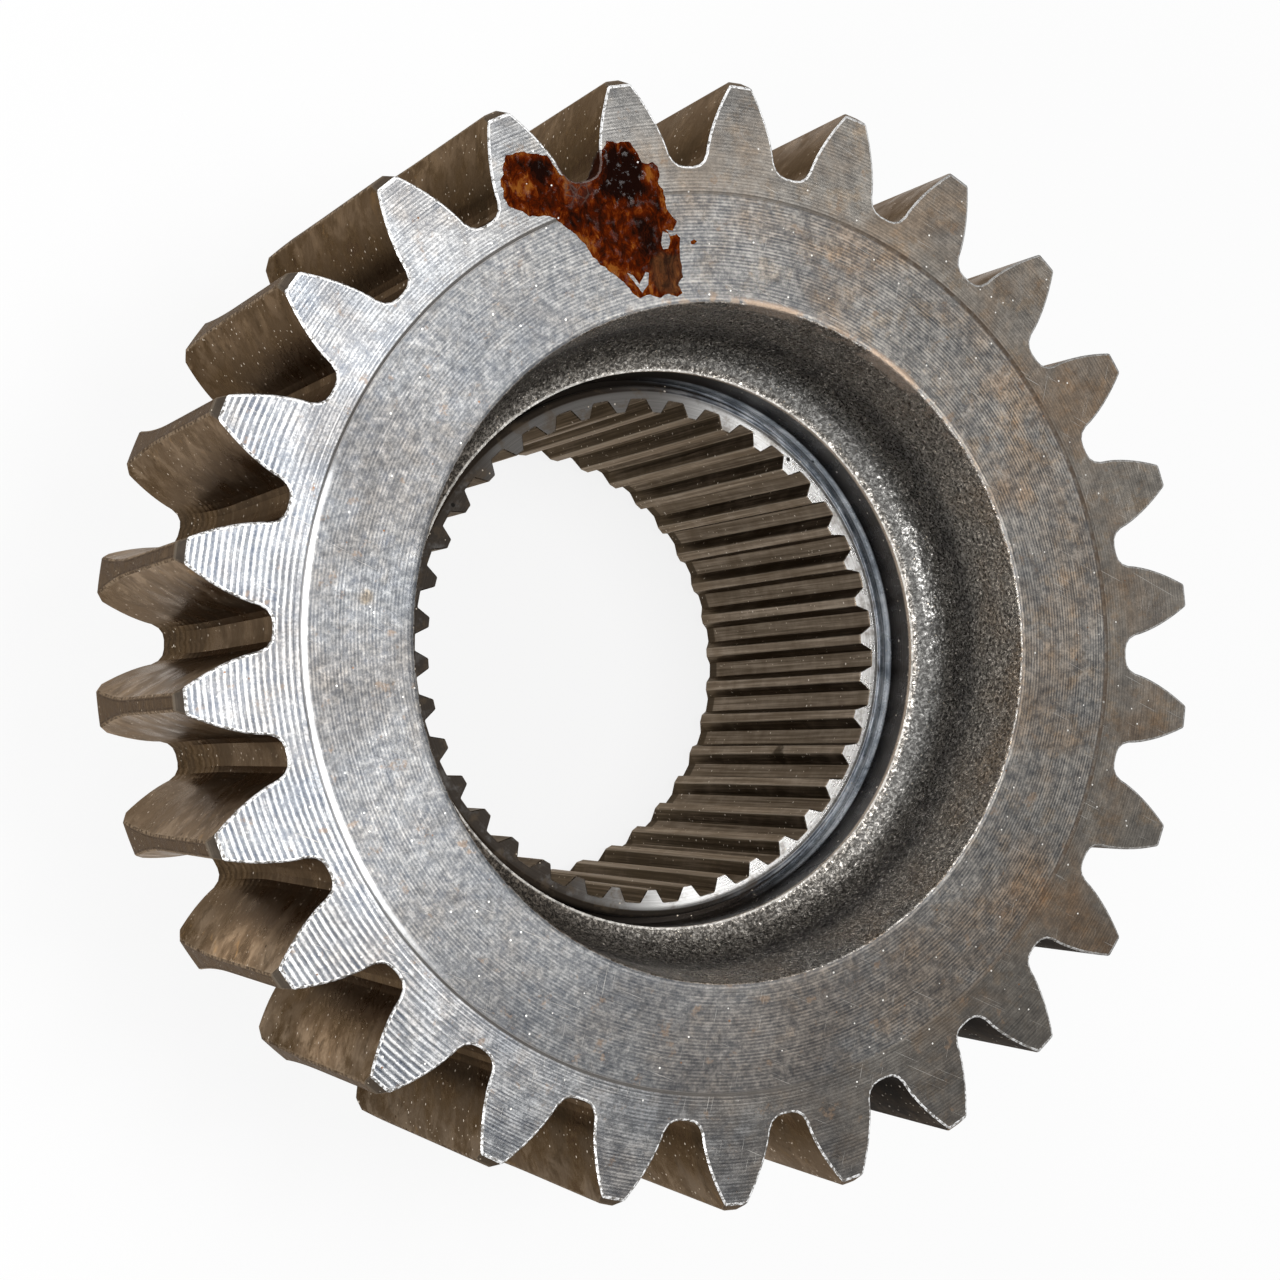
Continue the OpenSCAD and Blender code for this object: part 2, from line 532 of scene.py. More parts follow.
def tool_marks(s, outer, left):
    """The turned lines of the front face, coarser on the outer zone's left: height of the wave, and tone."""
    drift = s.times(s.noise(0.16, 2.0), 2.6)
    coarse = s.sine(s.plus(s.times(s.radius, 2 * math.pi / COARSE_FEED), drift))
    close = s.sine(s.plus(s.times(s.radius, 2 * math.pi / FINE_FEED), drift))
    wave = s.blend(s.times(left, outer), close, coarse)
    depth = s.blend(left, s.blend(outer, 0.40, 0.19), 0.5)
    wave = s.plus(s.times(wave, depth), 0.5)
    fine = s.line_noise(s.radius, 3.1, 3.0, 0.7)
    broken = s.noise(0.55, 4.0, 0.6)
    faded = s.ease(s.noise(0.35, 3.0, 0.6), 0.30, 0.62, 0.25, 1.0)
    wave = s.blend(faded, 0.5, wave)
    grain = s.noise(3.0, 4.0, 0.75)
    lines = s.plus(
        s.times(wave, 0.50),
        s.times(fine, 0.58),
        s.times(s.minus(broken, 0.5), 0.8),
        s.times(s.minus(grain, 0.5), 0.7),
    )
    return wave, lines, broken, grain


def turned_colour(s, lines, outer, side):
    """Bare steel of the two zones of the front face, bright blue-grey on the left, browner on the right, with
    painted light on the left of the outer zone and painted shade on its right.
    """
    steel_lit_left = s.ramp(
        lines,
        (0.14, (0.055, 0.065, 0.085)),
        (0.50, (0.185, 0.192, 0.203)),
        (0.86, (0.68, 0.685, 0.69)),
    )
    steel_shaded_right = s.ramp(
        lines,
        (0.15, (0.074, 0.073, 0.074)),
        (0.52, (0.148, 0.143, 0.136)),
        (0.95, (0.29, 0.278, 0.262)),
    )
    # Painted light and shade: the outer zone's steel is lighter on the left and darker on the right
    steel_outer = s.mix(s.ease(s.x, -62, 12), steel_lit_left, steel_shaded_right)
    blotches = s.times(s.noise(0.85, 6.0, 0.82), s.blend(side, 0.75, 0.56))
    mottled = s.plus(s.times(lines, s.blend(side, 0.26, 0.46)), blotches)
    steel_inner = s.ramp(
        mottled,
        (0.35, (0.058, 0.064, 0.075)),
        (0.50, (0.138, 0.141, 0.146)),
        (0.68, (0.345, 0.342, 0.334)),
    )
    return s.mix(outer, steel_inner, steel_outer)


def patina(s, colour, outer, side):
    """Clouds of grey and brown over the front face, with painted shade towards the bottom and painted light
    at the top of the outer zone. Also says how strong the broad brown tint is.
    """
    cloud = s.noise(0.07, 4.0, 0.62)
    shade = s.ramp(cloud, (0.30, (0.62, 0.64, 0.67)), (0.52, (0.86, 0.86, 0.86)), (0.72, (1.0, 1.0, 1.0)))
    colour = s.multiplied(colour, shade)
    colour = s.tinted(colour, side, (1.12, 1.05, 0.96))
    # Painted shade: darker towards the bottom
    low = s.fall(s.y, -75, -5)
    colour = s.tinted(colour, low, (0.60, 0.595, 0.59))
    # Painted light: the outer zone lighter at the top
    above = s.times(outer, s.ease(s.y, 40, 70))
    colour = s.tinted(colour, above, (1.20, 1.22, 1.24))
    warm = s.blend(side, 0.28, 0.95)
    tint = s.times(s.ease(s.noise(0.045, 5.0, 0.65, distortion=0.4), 0.42, 0.66), warm)
    colour = s.tinted(colour, tint, (0.98, 0.82, 0.68))
    small = s.times(s.ease(s.noise(0.20, 5.0, 0.75), 0.50, 0.64), warm)
    colour = s.tinted(colour, small, (1.06, 0.95, 0.83))
    blotch = s.times(s.ease(s.noise(0.30, 4.0, 0.7), 0.60, 0.70), 0.55)
    colour = s.mix(blotch, colour, (0.17, 0.115, 0.075))
    for place, reach in (((-54.6, 18.2, RIM_FRONT), 1.6), ((-22.1, 45.2, RIM_FRONT), 0.1)):
        colour = s.tinted(colour, s.near(place, reach), (1.05, 0.90, 0.72))
    for place, reach in BROWN_CLOUDS:
        soft = s.times(s.fall(s.distance(place), 0.0, reach), s.ease(s.noise(0.11, 5.0, 0.7), 0.36, 0.60))
        colour = s.tinted(colour, soft, (1.16, 0.95, 0.76))
    dark = s.times(s.ease(s.noise(0.8, 5.0, 0.75), 0.60, 0.72), 0.55)
    return s.mix(dark, colour, (0.050, 0.052, 0.056)), tint


def step_highlight_and_shade(s, colour, broken):
    """The turned step: a painted highlight as a bright line on the left, and painted shade as a dark line
    elsewhere.
    """
    middle = s.times(s.ease(s.y, -38, -16), s.fall(s.y, 24, 44))
    beside = s.times(
        s.ease(s.radius, STEP_RADIUS - 1.2, STEP_RADIUS - 0.8),
        s.fall(s.radius, STEP_RADIUS - 0.1, STEP_RADIUS + 0.2),
        s.fall(s.x, -62, -44),
    )
    # Painted highlight: a bright line on the step's slope, on the left
    bright = s.times(beside, middle, s.ease(s.noise(0.10, 3.0), 0.35, 0.6, 0.35, 0.9))
    colour = s.mix(bright, colour, (0.74, 0.74, 0.74))
    # Painted shade: a dark line along the step on the right, and a muted grey over it on the left above and
    # below the highlight
    line = s.times(
        s.ease(s.radius, STEP_RADIUS - 0.5, STEP_RADIUS - 0.2),
        s.fall(s.radius, STEP_RADIUS + 0.1, STEP_RADIUS + 0.3),
    )
    patchy = s.ease(broken, 0.34, 0.6, 0.25, 0.85)
    colour = s.mix(s.times(line, s.ease(s.x, 5, 50), patchy), colour, (0.050, 0.034, 0.023))
    quiet_shade = s.times(line, s.minus(1.0, middle), s.ease(s.x, -20, 5, 0.8, 0.0))
    return s.mix(quiet_shade, colour, (0.11, 0.100, 0.090))


def front_steel():
    """The turned front face: concentric tool marks, grey patina, brown tints, specks and scratches, with
    painted light on the left and at the top, and painted shade on the right, towards the bottom and along the
    step.
    """
    s = Shader("turned_face", Metallic=0.86, Anisotropic=0.55)
    s.turned_surface()
    outer = s.ease(s.radius, STEP_RADIUS - 0.5, STEP_RADIUS + 0.1)
    side = s.ease(s.x, -45, 60)
    left = s.fall(s.x, -66, -48)
    wave, lines, broken, grain = tool_marks(s, outer, left)
    colour, tint = patina(s, turned_colour(s, lines, outer, side), outer, side)
    rusty = s.times(rust_edge(s), s.fall(s.plus(s.radius, s.times(grain, 1.6)), 51.7, 52.5))
    colour = s.mix(rusty, colour, s.mix(grain, (0.11, 0.078, 0.056), (0.36, 0.275, 0.205)))
    colour = s.mix(s.times(s.specks(0.55, 0.10, 0.34), 0.9), colour, (0.72, 0.70, 0.66))
    colour = s.mix(s.specks(0.34, 0.07, 0.20), colour, (0.14, 0.07, 0.035))
    scratch = s.larger(s.stretched(37, 9, 0.16, 0.72), s.stretched(-64, 7, 0.14, 0.73))
    colour = s.mix(s.times(scratch, 0.55), colour, (0.45, 0.43, 0.40))
    colour = step_highlight_and_shade(s, colour, broken)
    height = s.plus(s.times(wave, s.blend(outer, 0.22, 0.9)), s.times(grain, 1.1))
    height = s.minus(height, s.times(scratch, 0.8))
    rough = s.ease(s.plus(broken, s.times(tint, 0.5)), 0.3, 0.9, 0.30, 0.52)
    return s.finish(colour, rough, s.bump(height, 0.024))


def edge_steel():
    """The thin deburred edge round the teeth, bright in dots where it was rubbed, stained by the varnish."""
    s = Shader("rubbed_edge")
    dots = s.noise(1.9, 3.0, 0.7)
    upper = s.ease(s.y, 25, 60, 0.0, 0.07)
    bare = s.times(s.ease(s.plus(dots, upper), 0.44, 0.56), s.ease(s.x, 10, 60, 1.0, 0.2))
    colour = s.mix(bare, (0.150, 0.140, 0.128), (0.74, 0.74, 0.74))
    stain = s.larger(s.near((-8.6, 70.4, RIM_FRONT), 5.2), s.near((-3.6, 73.0, RIM_FRONT), 1.4))
    colour = s.mix(s.times(stain, 0.95), colour, s.mix(dots, (0.010, 0.004, 0.002), (0.085, 0.024, 0.008)))
    metal = s.blend(bare, 0.9, 0.35)
    return s.finish(colour, s.blend(bare, 0.5, 0.28), s.bump(s.noise(3.0, 2.0), 0.05), metal)


def dust(s, colour, amount=1.0):
    """Pale specks and crumbs that cling to the oily surfaces."""
    colour = s.mix(s.times(s.specks(0.85, 0.13, 0.45 * amount), 0.9), colour, (0.66, 0.58, 0.47))
    colour = s.mix(s.times(s.specks(0.45, 0.10, 0.55 * amount), 0.9), colour, (0.80, 0.73, 0.64))
    return colour


def flank_steel():
    """Tooth flanks and roots: dark brown oil film, worn tan patches, hob marks by the rear of the roots, with
    painted light towards the tips, painted shade in the roots and at the top and bottom of the gear, and a
    painted shadow on the lower right.
    """
    s = Shader("oily_flank", Specular_Tint=(0.68, 0.54, 0.42, 1.0))
    deep = s.attribute("from_tip")
    soft = s.noise(0.16, 5.0, 0.60, distortion=0.3)
    fine = s.noise(0.9, 4.0, 0.65)
    colour = s.ramp(
        soft,
        (0.36, (0.019, 0.0128, 0.0082)),
        (0.49, (0.058, 0.0405, 0.0265)),
        (0.62, (0.125, 0.092, 0.063)),
    )
    colour = s.mix(s.times(s.ease(fine, 0.52, 0.66), 0.55), colour, (0.17, 0.127, 0.088))
    # Painted light: the flanks lighter towards the tip
    high = s.fall(deep, 1.0, 8.0)
    colour = s.mix(
        s.times(high, 0.5),
        colour,
        s.ramp(soft, (0.38, (0.048, 0.033, 0.021)), (0.60, (0.23, 0.172, 0.119))),
    )
    worn = s.times(s.fall(deep, 0.5, 8.0), s.ease(s.noise(0.20, 4.0, 0.66, distortion=0.4), 0.46, 0.64))
    colour = s.mix(s.times(worn, 0.72), colour, (0.33, 0.258, 0.187))
    gold = s.times(s.fall(deep, 0.5, 7.0), s.ease(s.noise(0.28, 3.0, 0.6, distortion=0.7), 0.62, 0.74))
    colour = s.mix(s.times(gold, 0.5), colour, (0.34, 0.215, 0.095))
    streak = s.times(s.ease(s.noise(0.24, 4.0, 0.7, distortion=0.3), 0.54, 0.68), s.ease(deep, 0.2, 1.0))
    colour = s.mix(s.times(streak, 0.62), colour, (0.026, 0.019, 0.013))
    # Painted shade: much darker in the roots, over the dark oil
    colour = s.mix(s.ease(deep, 7.0, 12.5, 0.0, 0.85), colour, (0.024, 0.0175, 0.0125))
    rear = s.times(s.fall(s.z, 50, 62), s.ease(deep, 8.5, 11.0))
    bent = s.plus(s.z, s.times(deep, deep, 0.012), s.times(s.noise(0.5, 2.0), 1.6))
    wave = s.sine(s.times(bent, 2 * math.pi / HOB_FEED))
    marks = s.times(rear, s.ease(wave, 0.0, 0.9), s.ease(fine, 0.38, 0.62), 0.6)
    colour = s.mix(marks, colour, (0.085, 0.060, 0.039))
    file_marks = s.times(s.fall(s.z, 44, 54), s.stretched(20, 8, 0.22, 0.63))
    colour = s.mix(s.times(file_marks, 0.6), colour, (0.17, 0.125, 0.085))
    stain = s.larger(s.near((-7.6, 70.6, RIM_FRONT), 4.6), s.near((-25.6, 67.0, 88.5), 2.2))
    colour = s.mix(stain, colour, s.mix(s.noise(0.8, 3.0), (0.010, 0.003, 0.002), (0.075, 0.018, 0.005)))
    edge = s.times(s.fall(deep, 0.05, 0.55), s.ease(s.noise(1.1, 2.0), 0.42, 0.6))
    colour = s.mix(s.times(edge, 0.7), colour, (0.34, 0.28, 0.21))
    # Painted shade: the flanks darker at the top and the bottom of the gear
    far = s.ease(s.math("ABSOLUTE", s.y), 34, 56)
    shade = s.mix(s.math("GREATER_THAN", s.y, 0.0), (0.52, 0.53, 0.55), (0.52, 0.48, 0.44))
    colour = s.tinted(colour, far, shade)
    # Painted shadow: the flanks on the lower right much darker
    below = s.times(s.ease(s.x, -4, 14), s.fall(s.y, -62, -30))
    colour = s.tinted(colour, below, (0.40, 0.38, 0.37))
    pale = s.times(s.fall(s.distance((-76, -36, 66)), 5.0, 21.0), s.fall(deep, 3.0, 9.0))
    colour = s.tinted(colour, pale, (2.5, 2.35, 2.15))
    colour = dust(s, colour, 1.5)
    colour = s.mix(s.specks(0.30, 0.10, 0.22), colour, (0.010, 0.007, 0.005))
    rough = s.ease(soft, 0.38, 0.62, 0.26, 0.44)
    # Dull under the varnish stain and under the painted shadow: rougher, with little gloss and no metal
    dull = s.larger(stain, s.times(below, 0.8))
    rough = s.blend(dull, rough, 0.9)
    s.put(s.surface.inputs["Specular IOR Level"], s.blend(dull, 0.3, 0.02))
    height = s.plus(fine, s.times(rear, wave, 0.4))
    return s.finish(colour, rough, s.bump(height, 0.05), s.blend(dull, 0.82, 0.0))


def land_steel():
    """Tooth tips: brown-grey, with cross marks, burrs along both edges and a paler chamfer, and painted shade
    towards the bottom.
    """
    s = Shader("tip_land", Metallic=0.75, Specular_IOR_Level=0.25, Specular_Tint=(0.62, 0.48, 0.36, 1.0))
    deep = s.attribute("from_tip")
    cross = s.line_noise(s.z, 2.4, 4.0, 0.75)
    patch = s.noise(0.35, 4.0, 0.65)
    tone = s.plus(s.times(cross, 0.5), s.times(patch, 0.5))
    colour = s.ramp(
        tone,
        (0.38, (0.017, 0.0122, 0.0088)),
        (0.50, (0.050, 0.0365, 0.0258)),
        (0.62, (0.145, 0.110, 0.079)),
    )
    burr = s.times(s.ease(deep, -0.30, -0.12), s.ease(s.noise(0.9, 3.0, 0.7), 0.42, 0.58))
    colour = s.mix(s.times(burr, 0.75), colour, (0.34, 0.275, 0.205))
    groove = s.times(
        s.ease(deep, -0.62, -0.50),
        s.fall(deep, -0.40, -0.28),
        s.ease(s.noise(0.7, 3.0), 0.40, 0.52),
    )
    colour = s.mix(s.times(groove, 0.8), colour, (0.014, 0.010, 0.007))
    bevel = s.larger(
        s.ease(s.z, FRONT_BEVEL - 0.2, FRONT_BEVEL + 0.2),
        s.fall(s.z, REAR_BEVEL - 0.1, REAR_BEVEL + 0.3),
    )
    colour = s.mix(s.times(bevel, 0.75), colour, s.mix(patch, (0.050, 0.044, 0.039), (0.135, 0.124, 0.112)))
    rim_line = s.times(
        s.ease(s.z, FRONT_BEVEL - 0.5, FRONT_BEVEL - 0.1),
        s.fall(s.z, FRONT_BEVEL + 0.2, FRONT_BEVEL + 0.6),
    )
    colour = s.mix(s.times(rim_line, 0.45), colour, (0.25, 0.22, 0.18))
    # Painted shade: the lands darker towards the bottom
    low = s.fall(s.y, -60, -30)
    colour = s.multiplied(colour, s.mix(low, (0.90, 0.85, 0.79), (0.66, 0.62, 0.58)))
    colour = dust(s, colour, 0.9)
    height = s.plus(cross, s.times(burr, 1.2))
    return s.finish(colour, s.ease(patch, 0.3, 0.7, 0.36, 0.52), s.bump(height, 0.06))


def cove_steel():
    """The forged wall of the recess: dark crinkled scale, glossy on its grains, brown by the outer edge, with
    a painted highlight by the foot on the right and painted shade at the top, in a band and on the left.
    """
    s = Shader("forged_recess", Metallic=0.86)
    grain = s.blend(0.42, s.noise(1.9, 3.0, 0.6, distortion=0.5), 0.5)
    crinkle = s.noise(1.5, 2.0, 0.55, distortion=0.9)
    worm = s.fall(s.math("ABSOLUTE", s.minus(crinkle, 0.5)), 0.008, 0.045)
    pebble = s.cells(1.7, "SMOOTH_F1")
    pebble.inputs["Smoothness"].default_value = 0.5
    wide = s.noise(0.12, 4.0, 0.6)
    colour = s.ramp(
        grain,
        (0.40, (0.018, 0.016, 0.014)),
        (0.50, (0.090, 0.082, 0.073)),
        (0.60, (0.50, 0.47, 0.43)),
    )
    right = s.times(s.ease(s.x, 5, 40), s.ease(s.z, 76, 86))
    colour = s.mix(
        s.times(right, 0.65),
        colour,
        s.ramp(
            grain,
            (0.41, (0.036, 0.029, 0.023)),
            (0.50, (0.195, 0.166, 0.137)),
            (0.58, (0.78, 0.70, 0.60)),
        ),
    )
    brown = s.times(s.ease(s.z, 74, 87), s.ease(wide, 0.38, 0.64))
    colour = s.mix(
        s.times(brown, 0.65),
        colour,
        s.ramp(grain, (0.40, (0.028, 0.018, 0.011)), (0.60, (0.36, 0.250, 0.155))),
    )
    # Painted shade: the wall of the recess darker at the top
    top = s.times(s.ease(s.y, 8, 36), s.ease(s.z, 68, 80))
    colour = s.mix(
        s.times(top, 0.7),
        colour,
        s.ramp(grain, (0.40, (0.014, 0.010, 0.007)), (0.62, (0.120, 0.088, 0.062))),
    )
    colour = s.mix(s.times(worm, 0.6), colour, (0.40, 0.365, 0.32))
    glare = s.times(
        s.ease(s.z, COVE_FOOT, COVE_FOOT + 0.4),
        s.fall(s.z, COVE_FOOT + 2.0, COVE_FOOT + 5.5),
        s.ease(s.x, 0, 30),
        s.ease(s.y, -46, -22, 0.25, 1.0),
    )
    colour = s.mix(
        glare,
        colour,
        s.ramp(
            grain,
            (0.38, (0.060, 0.058, 0.055)),
            (0.50, (0.175, 0.170, 0.162)),
            (0.62, (0.50, 0.49, 0.47)),
        ),
    )
    # Painted shade: a darker band round the middle of the wall
    shaded_band = s.times(
        s.ease(s.z, 71.0, 73.5),
        s.fall(s.z, 76.0, 79.5),
        s.ease(s.noise(0.2, 3.0), 0.35, 0.6, 0.4, 0.9),
    )
    colour = s.tinted(colour, shaded_band, (0.42, 0.42, 0.44))
    # Painted shade: the left side of the recess darker
    hidden = s.fall(s.x, -34, -12)
    colour = s.tinted(colour, hidden, (0.36, 0.33, 0.30))
    foot = s.times(
        s.fall(s.radius, COVE_FOOT_RADIUS + 0.2, COVE_FOOT_RADIUS + 0.45),
        s.ease(s.noise(0.9, 3.0, 0.6), 0.40, 0.52, 0.3, 1.0),
    )
    colour = s.mix(s.times(foot, 0.85), colour, (0.70, 0.67, 0.62))
    lip = s.ease(s.z, INNER_FACE - 0.22, INNER_FACE - 0.12)
    chip = s.times(s.ease(s.plus(s.z, s.times(grain, 2.6)), 87.7, 88.9), rust_edge(s))
    chip_bright = s.times(lip, s.ease(s.noise(1.2, 3.0, 0.6), 0.42, 0.58), s.ease(s.x, -10, 30, 0.25, 0.9))
    colour = s.mix(chip_bright, colour, (0.62, 0.59, 0.55))
    colour = s.mix(s.times(chip, 0.9), colour, s.mix(grain, (0.13, 0.092, 0.066), (0.36, 0.280, 0.215)))
    colour = dust(s, colour, 1.2)
    height = s.plus(grain, s.times(pebble.outputs["Distance"], -0.6), s.times(worm, 0.6))
    height = s.times(height, s.ease(s.z, COVE_FOOT + 1.0, COVE_FOOT + 7.0, 0.32, 1.0))
    # Rougher under the painted shade on the left
    rough = s.blend(hidden, s.ease(grain, 0.3, 0.7, 0.36, 0.17), 0.55)
    return s.finish(colour, rough, s.bump(height, 0.24), s.blend(s.larger(chip, foot), 0.86, 0.1))


def hub_steel():
    """Groove, rounded edge and end face of the hub: turned and polished, with painted blue-grey reflections
    on the right, and painted shade, dull dark brown, on the left and at the top.
    """
    s = Shader("turned_hub", Anisotropic=0.5)
    s.turned_surface()
    end = s.ease(s.z, HUB_FRONT - 0.3, HUB_FRONT - 0.05)
    rings = s.line_noise(s.plus(s.radius, s.z), 3.0, 3.0, 0.7)
    patch = s.noise(0.30, 4.0, 0.65)
    right = s.ease(s.x, -2, 24)
    steel = s.ramp(rings, (0.25, (0.10, 0.104, 0.11)), (0.55, (0.26, 0.27, 0.285)), (0.8, (0.56, 0.58, 0.60)))
    bright = s.ramp(rings, (0.25, (0.34, 0.34, 0.34)), (0.6, (0.74, 0.74, 0.73)), (0.85, (0.95, 0.95, 0.94)))
    colour = s.mix(end, steel, bright)
    crown = s.times(
        s.ease(s.z, HUB_FRONT - 1.6, HUB_FRONT - 1.0),
        s.fall(s.z, HUB_FRONT - 0.14, HUB_FRONT - 0.04),
    )
    # Painted reflection: bright blue-grey streaks on the rounded edge on the right, dark on the left
    streaks = s.plus(s.times(rings, 0.6), s.times(s.noise(0.22, 3.0, 0.6), 0.4))
    polished = s.ramp(
        streaks,
        (0.41, (0.070, 0.082, 0.100)),
        (0.50, (0.36, 0.40, 0.46)),
        (0.57, (0.92, 0.94, 0.97)),
    )
    polished = s.mix(right, s.mix(rings, (0.014, 0.011, 0.009), (0.11, 0.095, 0.080)), polished)
    colour = s.mix(crown, colour, polished)
    # Painted shade: the end dull dark brown on the left and at the top, where the recess wall shades it
    dull = s.times(s.fall(s.x, -26, 2), s.ease(s.noise(0.5, 3.0, 0.6), 0.25, 0.5, 0.88, 1.0))
    upper = s.times(s.ease(s.y, 14, 34), s.fall(s.x, 8, 30), 0.84)
    dull = s.larger(dull, upper)
    colour = s.mix(s.times(dull, 0.97), colour, s.mix(rings, (0.016, 0.011, 0.008), (0.070, 0.054, 0.040)))
    colour = s.mix(s.times(s.ease(patch, 0.50, 0.66), 0.6), colour, (0.12, 0.090, 0.062))
    groove = s.fall(s.z, HUB_FRONT - 2.1, HUB_FRONT - 1.5)
    colour = s.mix(groove, colour, (0.018, 0.014, 0.011))
    wall = s.ease(s.radius, COVE_FOOT_RADIUS - 0.5, COVE_FOOT_RADIUS - 0.1)
    colour = s.mix(wall, colour, s.mix(patch, (0.008, 0.0065, 0.0055), (0.034, 0.027, 0.022)))
    # Painted reflection: a bright streak at the foot of the wall on the right
    glint_band = s.times(wall, s.fall(s.z, HUB_FRONT, HUB_FRONT + 0.9), s.ease(s.x, 6, 30))
    glint = s.ramp(streaks, (0.40, (0.10, 0.12, 0.15)), (0.50, (0.45, 0.50, 0.56)), (0.58, (0.95, 0.97, 1.0)))
    colour = s.mix(glint_band, colour, glint)
    foot = s.times(wall, s.ease(s.z, COVE_FOOT - 1.0, COVE_FOOT - 0.4))
    colour = s.mix(s.times(foot, 0.8), colour, s.mix(patch, (0.16, 0.10, 0.06), (0.70, 0.58, 0.46)))
    nick = s.specks(0.20, 0.10, 0.4)
    colour = s.mix(nick, colour, (0.02, 0.018, 0.016))
    colour = dust(s, colour, 0.6)
    height = s.minus(rings, s.times(nick, 2.0))
    # Less metal under the painted reflections and the painted shade, so that their colours show
    metal = s.blend(s.larger(s.times(s.larger(crown, glint_band), 0.75), dull), 0.9, 0.1)
    rough = s.blend(dull, s.ease(patch, 0.3, 0.7, 0.20, 0.40), 0.9)
    s.put(s.surface.inputs["Specular IOR Level"], s.blend(dull, 0.3, 0.03))
    return s.finish(colour, rough, s.bump(height, 0.03), metal)


def spline_steel():
    """Spline teeth: tan-brown tops and floors with marks along them, dark sides and rear ends."""
    s = Shader("spline_bore", Metallic=0.75, Specular_IOR_Level=0.25, Specular_Tint=(0.66, 0.54, 0.42, 1.0))
    deep = s.attribute("from_tip")
    land = s.fall(deep, -0.02, 0.12)
    streak = s.noise(1.0, 3.0, 0.65, s.squeezed(s.place, (2.2, 2.2, 0.035)))
    patch = s.noise(0.25, 4.0, 0.6)
    tone = s.plus(s.times(streak, 0.6), s.times(patch, 0.4))
    top = s.ramp(
        tone,
        (0.38, (0.105, 0.081, 0.059)),
        (0.50, (0.200, 0.160, 0.121)),
        (0.62, (0.37, 0.308, 0.243)),
    )
    side = s.ramp(
        tone,
        (0.38, (0.016, 0.012, 0.0085)),
        (0.50, (0.046, 0.035, 0.025)),
        (0.62, (0.130, 0.100, 0.073)),
    )
    colour = s.mix(land, side, top)
    bottom = s.ease(deep, 1.85, 2.08)
    floor_tone = s.ramp(
        tone,
        (0.38, (0.064, 0.049, 0.036)),
        (0.50, (0.140, 0.111, 0.083)),
        (0.62, (0.27, 0.221, 0.171)),
    )
    colour = s.mix(bottom, colour, floor_tone)
    corner = s.times(s.ease(deep, 1.75, 1.95), s.fall(deep, 2.0, 2.12))
    colour = s.mix(s.times(corner, 0.8), colour, (0.012, 0.009, 0.006))
    edge = s.times(s.ease(deep, -0.12, -0.04), s.fall(deep, 0.04, 0.14), s.ease(streak, 0.35, 0.6, 0.3, 1.0))
    colour = s.mix(s.times(edge, 0.5), colour, (0.36, 0.31, 0.25))
    colour = s.mix(
        s.times(s.fall(s.z, LEAD_AXIAL - 0.4, LEAD_AXIAL + 0.2), 0.85),
        colour,
        (0.016, 0.012, 0.009),
    )
    nick = s.near((29.1, -24.4, 38), 2.6)
    colour = s.mix(s.times(nick, 0.85), colour, (0.014, 0.010, 0.007))
    colour = dust(s, colour)
    rough = s.ease(patch, 0.3, 0.7, 0.36, 0.52)
    return s.finish(colour, rough, s.bump(streak, 0.05))


def rear_steel():
    """The hidden rear: turned faces and hub, grey-brown, with a thin film of old oil."""
    s = Shader("turned_rear", Metallic=0.8, Anisotropic=0.4)
    s.turned_surface()
    rings = s.line_noise(s.plus(s.radius, s.z), 1.9, 4.0, 0.7)
    wave = s.sine(s.times(s.plus(s.radius, s.z), 2 * math.pi / REAR_FEED))
    patch = s.noise(0.06, 5.0, 0.62)
    colour = s.ramp(
        rings,
        (0.25, (0.15, 0.145, 0.14)),
        (0.55, (0.33, 0.325, 0.32)),
        (0.85, (0.58, 0.575, 0.56)),
    )
    colour = s.mix(
        s.times(s.ease(patch, 0.42, 0.62), 0.75),
        colour,
        s.mix(rings, (0.075, 0.055, 0.040), (0.24, 0.19, 0.145)),
    )
    colour = s.mix(s.times(s.ease(s.noise(0.7, 4.0, 0.7), 0.60, 0.72), 0.5), colour, (0.07, 0.05, 0.035))
    colour = dust(s, colour, 0.7)
    height = s.plus(rings, s.times(wave, 0.3))
    return s.finish(colour, s.ease(patch, 0.3, 0.7, 0.30, 0.5), s.bump(height, 0.03))


materials = {
    "face": front_steel(),
    "edge": edge_steel(),
    "flank": flank_steel(),
    "land": land_steel(),
    "cove": cove_steel(),
    "hub": hub_steel(),
    "spline": spline_steel(),
    "rear": rear_steel(),
}


def tooth_band(i):
    """Land or flank, for the face that starts at a point of the ring."""
    offset = i % SPLINE_TEETH - HALF_OUTER
    return "land" if -5 <= offset <= 4 else "flank"


def quarter_turn(steps):
    """Cosine and sine at equal steps from a right angle down to nothing."""
    for step in range(steps + 1):
        turn = math.pi / 2 * (1 - step / steps)
        yield math.cos(turn), math.sin(turn)


